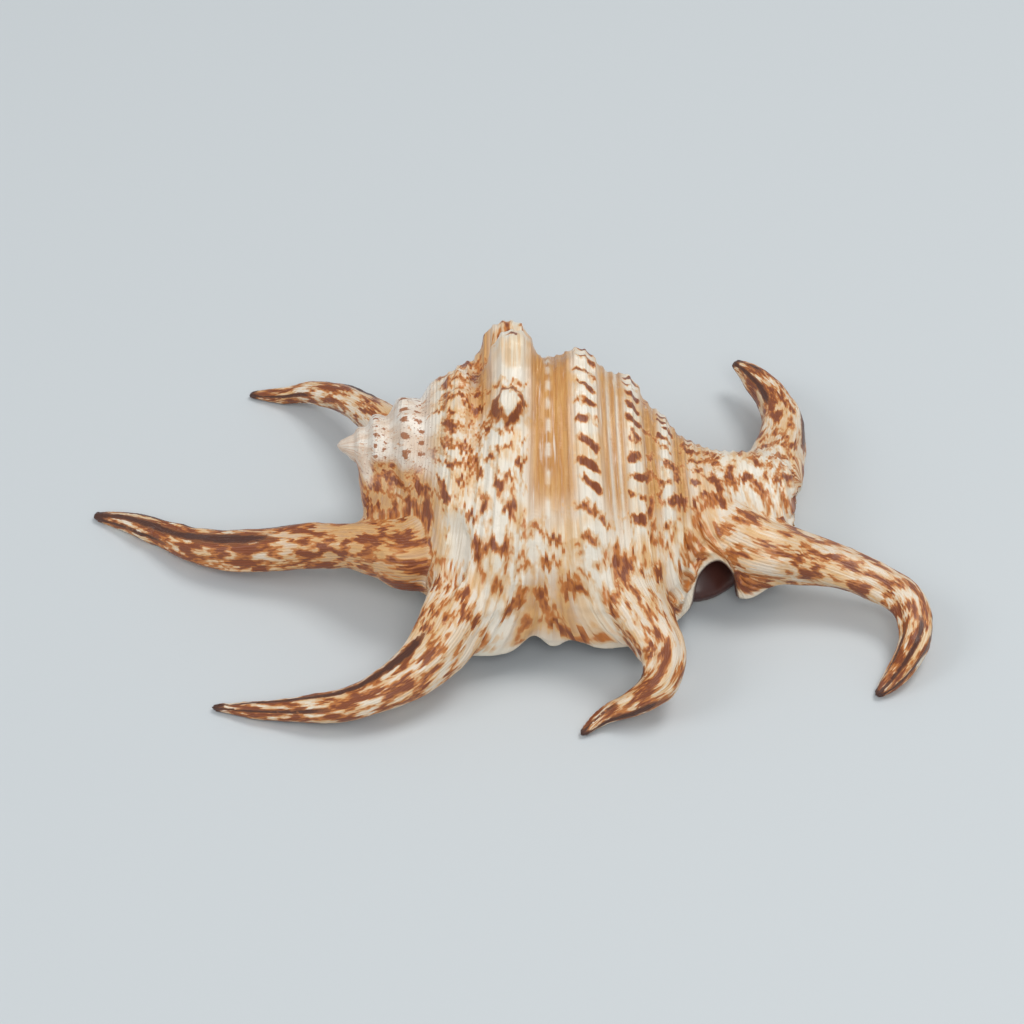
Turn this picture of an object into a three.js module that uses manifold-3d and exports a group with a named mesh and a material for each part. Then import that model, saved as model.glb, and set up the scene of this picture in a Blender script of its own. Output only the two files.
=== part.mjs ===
// A chiragra spider conch: one grown shell with six hooked fingers, lying aperture down.
// Millimetres, +Z up. The coil's axis runs along X, with the spire's apex at -X and the
// siphonal canal at +X. The outer lip is on the -Y side. Z = 0 is the surface it lies on.
import * as THREE from "three";
import { LoftGeometry } from "three/addons/geometries/LoftGeometry.js";
import { mergeVertices } from "three/addons/utils/BufferGeometryUtils.js";
import Module from "manifold-3d";

const wasm = await Module();
wasm.setup();

const DEGREE = Math.PI / 180;

// The body whorl, read along X: each row is [x, value].
const AXIS_Y = [[-42, 14.7], [-17, 14], [0, 13], [15, 12.5], [43, 12.5], [56, 14], [69, 18]];
const AXIS_Z = [[-42, 28], [-17, 27], [0, 24.5], [15, 23.5], [34, 18.5], [43, 16], [56, 13], [69, 12]];
const BACK_RADIUS = [
  [-37, 5], [-31, 8.5], [-24, 11.5], [-17, 16.5], [-8, 20.5], [-2, 24.5], [8, 25], [15, 25.5],
  [26, 22.5], [34, 16.8], [43, 10.5], [56, 9.5], [64, 8.5], [69, 4],
];
const BELLY_DROP = [
  [-37, 4], [-31, 8], [-17, 16], [-2, 23.5], [6, 25], [15, 24.3], [34, 16.5],
  [43, 13], [56, 13.4], [64, 11], [69, 4],
];
const LIP_Y = [
  [-37, 5], [-31, -2], [-26, -9], [-21, -19], [-12, -31.5], [-3, -32.6], [4, -30.5], [12, -31],
  [20, -32], [30, -31], [38, -26], [42.8, -18.5], [44.6, -13.5], [48.5, -12], [52.2, -13],
  [53.6, -15.2], [60, -15], [65, -8], [69, 10],
];
const LIP_Z = [
  [-37, 15], [-31, 14], [-26, 11], [-21, 9], [-12, 6.5], [-3, 6], [4, 6.8], [12, 6],
  [20, 7], [30, 8], [38, 7], [42.8, 7], [44.6, 12], [48.5, 14.6], [52.2, 12], [53.6, 5.5],
  [60, 6.5], [65, 8], [69, 11],
];
const BODY_STATIONS = 50;
const OUTSIDE_STEPS = 30;

// The angle at which the body's outside begins, below the belly.
const SEAM_ANGLE = [
  [-37, 158], [-14, 150], [-4, 134], [34, 130], [43, 121], [53, 121], [57, 130], [64, 146],
  [69, 158],
];

// The callus makes a level shelf beside the belly: how much of it there is, and its height.
const SHELF = [[-37, 0], [-20, 0], [-10, 0.8], [0, 1], [44, 1], [56, 1], [64, 0.2], [69, 0]];
const SHELF_CLEARANCE = 1;
const SHELF_START = 20;
const SHELF_FULL = 4;
const BELLY_ANGLES = [165, 182];

// The outside leaves its round shape at this angle and sweeps out to the lip.
const FLARE_ANGLE = 8;
const FLARE_POWER = 2.2;

// The aperture: a slot behind the lip that curls in round the columella.
const APERTURE_START = -19;
const APERTURE_END = 64;
const APERTURE_DEPTH = [[-19, 0.15], [-10, 0.8], [0, 1], [44, 1], [56, 0.8], [64, 0.2]];
const APERTURE_END_ANGLE = 30;
const APERTURE_STATIONS = 34;
const INSIDE_STEPS = 8;
const COLUMELLA_STEPS = 12;
const LIP_WALL = 3.6;
const DEEP_WALL = 6;
const SHALLOW_TURN = 1;
const DEEP_TURN = 0.22;
const BELOW = -12;
const EDGE_MARGIN = 2;

// The columella is slimmer than the body's tube, then swings out under the callus shelf.
const COLUMELLA_SHARE = 0.74;
const UNDER_SHELF_SHARE = 0.97;
const SWING_OUT_START = 44;

// Knobs on the shoulder and on the two keels below it: [x, angle, height, x width, angle width].
const KNOBS = [
  [-1.8, -52, 10.5, 5.4, 14],
  [-0.5, -18, 7.5, 5.5, 17],
  [0.5, 18, 4, 4, 9],
  [16, -42, 3, 4, 16],
  [26.5, -40, 1.8, 3, 14],
  [-17, -45, 2.5, 4.5, 22],
];

// The spire's outline, as [distance from the apex, radius].
const SPIRE_OUTLINE = [
  [0.6, 0.9], [2, 1.9], [3.5, 2.4], [5, 4.2], [7, 5.2], [8.5, 8.8], [10.5, 10.6],
  [13, 10.2], [15.5, 11.8], [18, 11.8], [21, 14.4], [25, 17.4], [29, 17.6], [36, 19],
];
const SPIRE_SIDES = 28;

const FINGER_SIDES = 12;
const FINGER_STEPS = 16;
const FINGER_FLATTEN = 0.88;

// Each finger from root to tip: points on its middle line, with its width at each of them.
const FINGERS = [
  {
    name: "posterior finger",
    path: [
      [-12, 12, 15], [-24, 26, 14], [-31.5, 37, 13.6], [-36.8, 44.9, 11.5], [-43.5, 52.8, 8.3],
      [-51.4, 58, 5.2], [-59.1, 60.2, 2.2], [-67.7, 61.6, 0.8],
    ],
    width: [16, 13, 10.5, 9.2, 7.8, 6.2, 4.6, 1.8],
  },
  {
    name: "first lip finger",
    path: [
      [-8, -4, 20], [-22, -10, 17], [-30.1, -8.1, 15.5], [-38.7, -4.1, 13], [-48.5, -1.9, 10.4],
      [-60.6, -0.6, 8], [-72.9, 2.4, 5.6], [-83.1, 7.6, 3.6], [-93.4, 14, 2.1], [-103.7, 18, 0.8],
    ],
    width: [26, 20, 14.5, 12, 12, 11.6, 10.1, 8, 5.4, 1.8],
  },
  {
    name: "second lip finger",
    path: [
      [-4, -4, 26], [-9.5, -21, 18.5], [-13.6, -30, 14.5], [-18.4, -37.6, 11], [-26.6, -44.4, 8.2],
      [-37.2, -48.2, 5.6], [-48.8, -48, 3.5], [-60.5, -46.6, 1.8], [-70.4, -45, 0.8],
    ],
    width: [20, 18.5, 16.5, 13.5, 10.6, 8.3, 6.5, 4.2, 1.6],
  },
  {
    name: "third lip finger",
    path: [
      [21, -6, 28], [27, -24.5, 18.5], [31.4, -32.1, 15], [35, -39.1, 12], [33.6, -45.1, 8.6],
      [27.6, -47.4, 5], [21.2, -49.4, 2.6], [15.6, -53.8, 0.8],
    ],
    width: [20, 17, 13.6, 10.6, 9, 6.6, 4.2, 1.6],
  },
  {
    name: "fourth lip finger",
    path: [
      [46, 2, 15], [59, -6.6, 14.5], [68.5, -8, 12.6], [78.1, -9.8, 10.8], [87.3, -13.2, 9.2],
      [92.6, -17.2, 8.2], [94.8, -22.4, 7.4], [94.6, -28.6, 6.2], [91.6, -34.6, 4.4],
      [87.9, -39, 2.4], [84.5, -42, 0.9],
    ],
    width: [20, 17.5, 13.6, 10.8, 10, 9.4, 8.6, 7.6, 6.2, 4.4, 1.8],
  },
  {
    name: "canal finger",
    path: [
      [48, 14, 13], [61.5, 19, 11.6], [64.8, 26.4, 10.8], [67, 35.3, 10.3], [67.4, 43.2, 10],
      [65.2, 51.7, 9.8], [61.2, 59.1, 9.4], [56.4, 65.1, 9],
    ],
    width: [18, 16.5, 14.4, 12.2, 10.3, 8.6, 6.6, 2.2],
  },
];

const SHELL_COLOUR = 0xe8cfa8;
const ROOM = 400;

// A smooth curve through rows of [x, value].
function along(rows, x) {
  const last = rows.length - 1;
  let right = 1;
  while (right < last && rows[right][0] < x) right += 1;
  const left = right - 1;
  const slopeAt = (i) => {
    const before = rows[Math.max(i - 1, 0)];
    const after = rows[Math.min(i + 1, last)];
    return (after[1] - before[1]) / (after[0] - before[0]);
  };
  const span = rows[right][0] - rows[left][0];
  const t = THREE.MathUtils.clamp((x - rows[left][0]) / span, 0, 1);
  const rise = rows[right][1] - rows[left][1];
  const bend = t * (1 - t) * span;
  const straight = rows[left][1] + rise * t * t * (3 - 2 * t);
  return straight + bend * ((1 - t) * slopeAt(left) - t * slopeAt(right));
}

function knobHeight(x, angle) {
  let height = 0;
  for (const [knobX, knobAngle, tall, wide, spread] of KNOBS) {
    const dx = (x - knobX) / wide;
    const da = (angle - knobAngle) / spread;
    height += tall * Math.exp(-dx * dx - da * da);
  }
  return height;
}

// The shell's section in the plane of one x, as functions of the angle around the coil's
// axis in degrees: 0 is up, 90 is towards the lip, -90 is the back and 180 is the belly.
function sectionAt(x) {
  const centreY = along(AXIS_Y, x);
  const centreZ = along(AXIS_Z, x);
  const back = along(BACK_RADIUS, x);
  const belly = along(BELLY_DROP, x);
  const lipY = along(LIP_Y, x) - centreY;
  const lipZ = along(LIP_Z, x) - centreZ;
  const lipAngle = Math.atan2(-lipY, lipZ) / DEGREE;
  const lipRadius = Math.hypot(lipY, lipZ);

  const seam = along(SEAM_ANGLE, x);
  const shelf = THREE.MathUtils.clamp(along(SHELF, x), 0, 1);

  const tube = (angle) => {
    const under = (1 - Math.cos(angle * DEGREE)) / 2;
    return THREE.MathUtils.lerp(back, belly, under * under);
  };
  const plain = (angle) => {
    const turned = THREE.MathUtils.euclideanModulo(angle, 360);
    const down = Math.max(-Math.cos(turned * DEGREE), -Math.cos(seam * DEGREE));
    const level = (centreZ - SHELF_CLEARANCE) / down;
    const beside = THREE.MathUtils.smoothstep(turned, seam - SHELF_START, seam - SHELF_FULL);
    const belowIt = 1 - THREE.MathUtils.smoothstep(turned, ...BELLY_ANGLES);
    return tube(angle) + Math.max(level - tube(angle), 0) * beside * belowIt * shelf;
  };
  const radius = (angle) => {
    const reach = Math.max((angle - FLARE_ANGLE) / (lipAngle - FLARE_ANGLE), 0);
    const flare = (lipRadius - plain(lipAngle)) * Math.pow(reach, FLARE_POWER);
    return plain(angle) + flare + knobHeight(x, angle);
  };
  const point = (angle, r) => {
    const y = centreY - r * Math.sin(angle * DEGREE);
    const z = centreZ + r * Math.cos(angle * DEGREE);
    return new THREE.Vector3(x, y, z);
  };
  const outside = (angle) => point(angle, radius(angle));
  return { seam, lipAngle, tube, plain, point, outside };
}

// A point under the outside surface, by the wall's thickness there.
function insidePoint(section, angle, wall) {
  const before = section.outside(angle - 1);
  const after = section.outside(angle + 1);
  const run = after.sub(before).normalize();
  const inward = new THREE.Vector3(0, -run.z, run.y);
  return section.outside(angle).addScaledVector(inward, wall);
}

// The body's outline at one x: round the outside to the lip's edge, then straight back.
function bodyOutline(x) {
  const section = sectionAt(x);
  const outline = [];
  for (let i = 0; i <= OUTSIDE_STEPS; i += 1) {
    const angle = THREE.MathUtils.lerp(section.seam - 360, section.lipAngle, i / OUTSIDE_STEPS);
    outline.push(section.outside(angle));
  }
  return outline;
}

// The aperture's outline at one x: up the lip's inner face, round the deep end, down the
// columella, out below the shell and back up outside the lip's edge.
function apertureOutline(x) {
  const section = sectionAt(x);
  const depth = THREE.MathUtils.clamp(along(APERTURE_DEPTH, x), 0, 1);
  const innerLip = section.lipAngle - 1;
  const deepest = THREE.MathUtils.lerp(innerLip - 6, APERTURE_END_ANGLE, depth);
  const outline = [];
  for (let i = 0; i <= INSIDE_STEPS; i += 1) {
    const share = i / INSIDE_STEPS;
    const angle = THREE.MathUtils.lerp(innerLip, deepest, share);
    outline.push(insidePoint(section, angle, THREE.MathUtils.lerp(LIP_WALL, DEEP_WALL, share)));
  }
  const deepPoint = outline[outline.length - 1];
  const centre = section.point(0, 0);
  const deepRadius = deepPoint.distanceTo(centre);
  const deepAngle = Math.atan2(centre.y - deepPoint.y, deepPoint.z - centre.z) / DEGREE;
  const turnIn = THREE.MathUtils.lerp(SHALLOW_TURN, DEEP_TURN, depth);
  for (let i = 1; i <= COLUMELLA_STEPS; i += 1) {
    const share = Math.pow(i / COLUMELLA_STEPS, 1.5);
    const angle = THREE.MathUtils.lerp(deepAngle, section.seam, share);
    const shelfStart = section.seam - SWING_OUT_START;
    const swingOut = THREE.MathUtils.smoothstep(angle, shelfStart, section.seam - SHELF_FULL);
    const pillar = section.tube(angle) * COLUMELLA_SHARE;
    const underShelf = section.plain(angle) * UNDER_SHELF_SHARE;
    const core = THREE.MathUtils.lerp(pillar, underShelf, swingOut);
    const leave = THREE.MathUtils.smoothstep(share, 0, turnIn);
    outline.push(section.point(angle, THREE.MathUtils.lerp(deepRadius, core, leave)));
  }
  const foot = outline[outline.length - 1];
  const edge = section.outside(section.lipAngle);
  outline.push(new THREE.Vector3(x, foot.y, BELOW));
  outline.push(new THREE.Vector3(x, edge.y - EDGE_MARGIN, BELOW));
  outline.push(new THREE.Vector3(x, edge.y - EDGE_MARGIN, edge.z));
  return outline.reverse();
}

function loftAlong(first, last, stations, outlineAt) {
  const outlines = [];
  for (let i = 0; i <= stations; i += 1) {
    outlines.push(outlineAt(THREE.MathUtils.lerp(first, last, i / stations)));
  }
  return new LoftGeometry(outlines, { capStart: true, capEnd: true });
}

function bodyGeometry() {
  const first = BACK_RADIUS[0][0];
  const last = BACK_RADIUS[BACK_RADIUS.length - 1][0];
  return loftAlong(first, last, BODY_STATIONS, bodyOutline);
}

function apertureGeometry() {
  return loftAlong(APERTURE_START, APERTURE_END, APERTURE_STATIONS, apertureOutline);
}

function spireGeometry() {
  const [apexX, apexY] = AXIS_Y[0];
  const apex = new THREE.Vector3(apexX, apexY, AXIS_Z[0][1]);
  const baseX = apexX + SPIRE_OUTLINE[SPIRE_OUTLINE.length - 1][0];
  const base = new THREE.Vector3(baseX, along(AXIS_Y, baseX), along(AXIS_Z, baseX));
  const outline = [new THREE.Vector2(0, 0)];
  for (const [distance, radius] of SPIRE_OUTLINE) {
    outline.push(new THREE.Vector2(radius, distance));
  }
  outline.push(new THREE.Vector2(0, outline[outline.length - 1].y));
  const geometry = new THREE.LatheGeometry(outline, SPIRE_SIDES);
  const turn = new THREE.Quaternion().setFromUnitVectors(
    new THREE.Vector3(0, 1, 0),
    base.clone().sub(apex).normalize(),
  );
  return geometry.applyQuaternion(turn).translate(apex.x, apex.y, apex.z);
}

function fingerGeometry(finger) {
  const path = new THREE.CatmullRomCurve3(finger.path.map((p) => new THREE.Vector3(...p)));
  const widths = finger.width.map((width, i) => [i, width]);
  const rings = [];
  for (let i = 0; i <= FINGER_STEPS; i += 1) {
    const t = i / FINGER_STEPS;
    const middle = path.getPoint(t);
    const ahead = path.getTangent(t);
    const side = new THREE.Vector3(0, 0, 1).cross(ahead).normalize();
    const up = ahead.clone().cross(side);
    const radius = along(widths, t * (widths.length - 1)) / 2;
    const ring = [];
    for (let k = 0; k < FINGER_SIDES; k += 1) {
      const turn = (k / FINGER_SIDES) * Math.PI * 2;
      const point = middle.clone();
      point.addScaledVector(side, Math.cos(turn) * radius);
      point.addScaledVector(up, Math.sin(turn) * radius * FINGER_FLATTEN);
      ring.push(point);
    }
    rings.push(ring);
  }
  return new LoftGeometry(rings, { capStart: true, capEnd: true });
}

function solidOf(geometry) {
  geometry.deleteAttribute("normal");
  geometry.deleteAttribute("uv");
  const merged = mergeVertices(geometry, 1e-4);
  const corners = merged.index.array;
  const kept = [];
  for (let i = 0; i < corners.length; i += 3) {
    const [a, b, c] = [corners[i], corners[i + 1], corners[i + 2]];
    if (a !== b && b !== c && c !== a) kept.push(a, b, c);
  }
  return new wasm.Manifold(
    new wasm.Mesh({
      numProp: 3,
      vertProperties: merged.attributes.position.array,
      triVerts: new Uint32Array(kept),
    }),
  );
}

function geometryOf(solid) {
  const mesh = solid.getMesh();
  const geometry = new THREE.BufferGeometry();
  geometry.setAttribute("position", new THREE.BufferAttribute(mesh.vertProperties, 3));
  geometry.setIndex(new THREE.BufferAttribute(mesh.triVerts, 1));
  geometry.computeVertexNormals();
  return geometry;
}

function shellSolid() {
  let solid = solidOf(bodyGeometry()).add(solidOf(spireGeometry()));
  for (const finger of FINGERS) {
    solid = solid.add(solidOf(fingerGeometry(finger)));
  }
  const below = new THREE.BoxGeometry(ROOM, ROOM, ROOM).translate(0, 0, -ROOM / 2);
  return solid.subtract(solidOf(apertureGeometry())).subtract(solidOf(below));
}

// Stands the shell on Z = 0 with the middle of its outline over the origin.
function centred(geometry) {
  geometry.computeBoundingBox();
  const { min, max } = geometry.boundingBox;
  return geometry.translate(-(min.x + max.x) / 2, -(min.y + max.y) / 2, -min.z);
}

const shell = new THREE.Mesh(
  centred(geometryOf(shellSolid())),
  new THREE.MeshStandardMaterial({ color: SHELL_COLOUR, roughness: 0.35, metalness: 0 }),
);
shell.name = "shell";

const group = new THREE.Group();
group.add(shell);

export default group;
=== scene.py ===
# %% [markdown]
# # A spider conch shell
# The shell is a snail's house: one tube that winds round an axis and widens as it grows.
# Its last turn ends in a wide lip with long hooked fingers. It is all one hard piece, so it
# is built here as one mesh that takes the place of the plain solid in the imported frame.

import math

import bmesh
import bpy
import numpy as np
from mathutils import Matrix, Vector, bvhtree


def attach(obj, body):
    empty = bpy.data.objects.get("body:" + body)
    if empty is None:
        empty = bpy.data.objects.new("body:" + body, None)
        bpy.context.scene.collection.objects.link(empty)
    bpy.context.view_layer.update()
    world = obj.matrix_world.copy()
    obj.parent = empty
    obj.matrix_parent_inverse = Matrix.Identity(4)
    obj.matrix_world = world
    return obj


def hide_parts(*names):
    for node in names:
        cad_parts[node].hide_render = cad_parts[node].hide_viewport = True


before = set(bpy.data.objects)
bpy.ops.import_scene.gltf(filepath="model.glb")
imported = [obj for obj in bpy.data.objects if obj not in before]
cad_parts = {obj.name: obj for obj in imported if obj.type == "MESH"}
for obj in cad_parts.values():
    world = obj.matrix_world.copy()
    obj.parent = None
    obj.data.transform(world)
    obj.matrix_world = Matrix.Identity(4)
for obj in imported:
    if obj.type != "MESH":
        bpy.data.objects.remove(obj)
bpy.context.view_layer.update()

# %% [markdown]
# ## The studio
# The shell lies on a pale, plain table under soft light. One lamp stands high behind it on
# the right, a weaker one on the left and a broad one in front, so the shadows are faint and
# have soft edges. Area lamps give that softness, because a big lamp has a wide penumbra.

# %% Camera
TARGET = Vector((0.00243, -0.00568, 0.020))
CAMERA_DISTANCE = 0.750
CAMERA_ELEVATION = math.radians(45)

camera_data = bpy.data.cameras.new("camera")
camera_data.lens = 110.74
camera_data.sensor_width = 36.0
camera = bpy.data.objects.new("camera", camera_data)
camera.location = TARGET + CAMERA_DISTANCE * Vector(
    (0.0, -math.cos(CAMERA_ELEVATION), math.sin(CAMERA_ELEVATION))
)
camera.rotation_euler = (math.pi / 2 - CAMERA_ELEVATION, 0.0, 0.0)
bpy.context.collection.objects.link(camera)
bpy.context.scene.camera = camera
print("camera at", tuple(round(c, 4) for c in camera.location))

# %% Lamps and sky
def area_lamp(name, place, size, power, colour):
    """A square soft lamp that looks at the shell."""
    data = bpy.data.lights.new(name, "AREA")
    data.size = size
    data.energy = power
    data.color = colour
    lamp = bpy.data.objects.new(name, data)
    lamp.location = place
    lamp.rotation_euler = (TARGET - lamp.location).to_track_quat("-Z", "Y").to_euler()
    bpy.context.collection.objects.link(lamp)


area_lamp("key_lamp", Vector((0.50, 0.32, 1.15)), 0.50, 6.0, (1.0, 0.985, 0.96))
area_lamp("fill_lamp", Vector((-0.95, -0.25, 0.85)), 0.55, 3.2, (1.0, 0.99, 0.98))
area_lamp("front_lamp", Vector((0.15, -1.1, 1.2)), 0.8, 7.2, (1.0, 0.99, 0.97))

sky = bpy.data.worlds.new("sky")
sky.use_nodes = True
sky.node_tree.nodes["Background"].inputs["Color"].default_value = (0.93, 0.97, 1.0, 1.0)
sky.node_tree.nodes["Background"].inputs["Strength"].default_value = 0.44
bpy.context.scene.world = sky
bpy.context.scene.view_settings.view_transform = "Standard"

# %% [markdown]
# ## Curves given by a few measured rows
# The shell changes along its axis, so each of its sizes is a short table of position and
# value. A smooth curve through the rows gives every place between them. All tables are in
# millimetres with x along the axis, because that is how a shell would be measured.

# %% Tables along the axis
AXIS_Y = [[-42, 14.7], [-17, 14], [0, 13], [15, 12.5], [43, 12.5], [56, 14], [69, 18]]
AXIS_Z = [[-42, 28], [-17, 27], [0, 24.5], [15, 23.5], [34, 18.5], [43, 16], [56, 13], [69, 12]]
BACK_RADIUS = [
    [-37, 5], [-31, 8.5], [-24, 11.5], [-17, 16.5], [-8, 20.5], [-2, 24.5], [8, 25],
    [15, 25.5], [26, 22.5], [34, 16.8], [43, 10.5], [56, 9.5], [64, 8.5], [69, 4],
]
BELLY_DROP = [
    [-37, 4], [-31, 8], [-17, 16], [-2, 23.5], [6, 25], [15, 24.3], [34, 16.5], [43, 13],
    [56, 13.4], [64, 11], [69, 4],
]
LIP_Y = [
    [-37, 3], [-31, -4], [-26, -10], [-21, -19], [-12, -32.5], [-3, -34], [4, -32],
    [12, -32.4], [20, -33.2], [30, -31.8], [38, -26], [42.8, -18.5], [44.6, -13.5], [48.5, -12],
    [52.2, -13], [53.6, -15.2], [60, -15], [65, -8], [69, 10],
]
LIP_Z = [
    [-37, 14], [-31, 13], [-26, 11], [-21, 9], [-12, 5.6], [-3, 4.8], [4, 5.6], [12, 4.8],
    [20, 5.8], [30, 7.2], [38, 7], [42.8, 7], [44.6, 12], [48.5, 14.6], [52.2, 12], [53.6, 5.5],
    [60, 6.5], [65, 8], [69, 11],
]


def along(rows, x):
    """The smooth curve through the rows, at every x."""
    rows = np.asarray(rows, dtype=float)
    places, values = rows[:, 0], rows[:, 1]
    after = np.minimum(np.arange(len(rows)) + 1, len(rows) - 1)
    before = np.maximum(np.arange(len(rows)) - 1, 0)
    slopes = (values[after] - values[before]) / (places[after] - places[before])
    x = np.asarray(x, dtype=float)
    right = np.clip(np.searchsorted(places, x), 1, len(rows) - 1)
    left = right - 1
    span = places[right] - places[left]
    t = np.clip((x - places[left]) / span, 0.0, 1.0)
    rise = values[right] - values[left]
    bend = t * (1 - t) * span * ((1 - t) * slopes[left] - t * slopes[right])
    return values[left] + rise * t * t * (3 - 2 * t) + bend


def ramp(x, low, high):
    """0 below low, 1 above high and a smooth climb between, also with high below low."""
    t = np.clip((x - low) / (high - low), 0.0, 1.0)
    return t * t * (3 - 2 * t)


def hill(x, middle, width):
    """A soft hill of height 1."""
    return np.exp(-(((x - middle) / width) ** 2))


def mix(a, b, share):
    return a + (b - a) * share


print("widest back radius:", float(along(BACK_RADIUS, np.linspace(-37, 69, 200)).max()), "mm")

# %% [markdown]
# ## Seeded bumps
# Nothing that grew is regular. This is value noise: random numbers on the corners of a cube
# lattice, smoothly mixed between them. The numbers come from a fixed seed, so the shell is
# the same each time.

# %% Value noise for shapes
SEED = 7
LATTICE = 32
lattice_values = np.random.default_rng(SEED).uniform(-1.0, 1.0, (LATTICE, LATTICE, LATTICE))


def bumps(points, size):
    """Soft random values from -1 to 1 at points, with lumps about size across."""
    p = np.asarray(points, dtype=float) / size
    cell = np.floor(p).astype(int)
    t = p - cell
    t = t * t * (3 - 2 * t)
    total = np.zeros(p.shape[:-1])
    for dx in (0, 1):
        for dy in (0, 1):
            for dz in (0, 1):
                corner = (cell + (dx, dy, dz)) % LATTICE
                weight = np.abs(1 - dx - t[..., 0]) * np.abs(1 - dy - t[..., 1])
                weight = weight * np.abs(1 - dz - t[..., 2])
                total += weight * lattice_values[corner[..., 0], corner[..., 1], corner[..., 2]]
    return total


# %% [markdown]
# ## The last turn's section
# A cut across the axis shows a rounded back that sweeps out into the lip. The angle round
# the axis is 0 at the top, 90 at the lip's side, -90 at the back and 180 at the belly. The
# radius is the plain tube's, plus a flare that grows towards the lip's edge.

# %% Radius of the outside
DEGREE = math.pi / 180
FLARE_ANGLE = [[-37, 70], [-24, 66], [-17, 50], [-9, 22], [-3, 10], [6, 8], [69, 8]]
FLARE_POWER = [[-37, 1.3], [-20, 1.4], [-8, 1.8], [0, 2.2], [69, 2.2]]
SEAM_ANGLE = [
    [-37, 158], [-14, 150], [-4, 134], [34, 130], [43, 121], [53, 121], [57, 130], [64, 146],
    [69, 158],
]
SHELF = [[-37, 0], [-20, 0], [-10, 0.8], [0, 1], [44, 1], [56, 1], [64, 0.2], [69, 0]]
SHELF_CLEARANCE = 1.0
SHELF_BEFORE_SEAM = (20, 4)  # degrees before the seam where it starts and where it is full
SHELF_PAST_BELLY = (182, 165)  # the angles where it is gone and where it is still full
NARROWING = 0.24  # the share that the back loses towards the spire
NARROWING_X = (-18, -25)  # where that starts and where it is complete


def section(x):
    """Sizes of the sections at x: the axis, the lip's edge and the tube's radii."""
    centre_y, centre_z = along(AXIS_Y, x), along(AXIS_Z, x)
    lip_y, lip_z = along(LIP_Y, x) - centre_y, along(LIP_Z, x) - centre_z
    return {
        "y": centre_y,
        "z": centre_z,
        "back": along(BACK_RADIUS, x) * (1 - NARROWING * ramp(x, *NARROWING_X)),
        "belly": along(BELLY_DROP, x),
        "lip_angle": np.degrees(np.arctan2(-lip_y, lip_z)),
        "lip_radius": np.hypot(lip_y, lip_z),
        "shelf": np.clip(along(SHELF, x), 0, 1),
        "seam": along(SEAM_ANGLE, x),
    }


def tube_radius(cut, angle):
    under = (1 - np.cos(angle * DEGREE)) / 2
    return cut["back"] + (cut["belly"] - cut["back"]) * under * under


def plain_radius(cut, angle):
    """The tube with the callus shelf, which runs out level from the belly."""
    turned = np.mod(angle, 360.0)
    start, full = (cut["seam"] - before for before in SHELF_BEFORE_SEAM)
    share = ramp(turned, start, full) * ramp(turned, *SHELF_PAST_BELLY) * cut["shelf"]
    down = np.maximum(-np.cos(turned * DEGREE), -np.cos(cut["seam"] * DEGREE))
    level = (cut["z"] - SHELF_CLEARANCE) / down
    tube = tube_radius(cut, angle)
    return tube + np.maximum(level - tube, 0) * share


def flared_radius(x, cut, angle):
    start = along(FLARE_ANGLE, x)
    reach = np.maximum((angle - start) / (cut["lip_angle"] - start), 0.0)
    lip_gain = cut["lip_radius"] - plain_radius(cut, cut["lip_angle"])
    return plain_radius(cut, angle) + lip_gain * reach ** along(FLARE_POWER, x)


# %% [markdown]
# ## Which cord a point lies on
# Raised cords run round the shell. They are straight over the back, then fan out near the
# lip and lead into the fingers. So each point gets the number of the cord through it: where
# that cord crosses the back, in millimetres along the axis. Both the ribs and the markings
# follow this number, as they do on the shell, whose edge lays down both together.

# %% Cord numbers
CORD_SWING = [
    [-40, -6], [-24, -12], [-14, -15], [0, -15], [8, -1], [17, 16], [28, 11], [37, 7],
    [46, 12], [56, 14], [70, 8],
]
CORD_BEND = [
    [-120, 0], [-90, 0.01], [-60, 0.06], [-39, 0.12], [-24, 0.2], [-14, 0.36], [-8, 0.62],
    [-2, 0.95], [2, 1],
]
BEND_LEVELS = 60
table_x = np.linspace(-60, 90, 601)
cord_numbers = np.linspace(-70, 100, 1200)
swing = along(CORD_SWING, cord_numbers)
cord_table = np.array([
    np.interp(table_x, cord_numbers + swing * level, cord_numbers)
    for level in np.linspace(0, 1, BEND_LEVELS)
])


def cord_number(x, angle, lip_angle):
    """The cord through a point of the outside."""
    level = np.clip(along(CORD_BEND, angle - lip_angle), 0, 1) * (BEND_LEVELS - 1)
    column = np.clip((x - table_x[0]) / (table_x[1] - table_x[0]), 0, len(table_x) - 1.001)
    low, left = np.floor(level).astype(int), np.floor(column).astype(int)
    low = np.minimum(low, BEND_LEVELS - 2)
    a, b = level - low, column - left
    upper = cord_table[low + 1, left] * (1 - b) + cord_table[low + 1, left + 1] * b
    lower = cord_table[low, left] * (1 - b) + cord_table[low, left + 1] * b
    return lower * (1 - a) + upper * a


# %% [markdown]
# ## Knobs and keels
# On the shoulder stand three big knobs: a tall far one, a pale broad one in front of it and
# a small round one. Low swellings lie round them, and keels with knuckles run beside them.
# Each knob is a hill over x and angle, with a power above 2 so that its top is broad and its
# sides are steep. A keel with a negative height is a groove.

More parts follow.
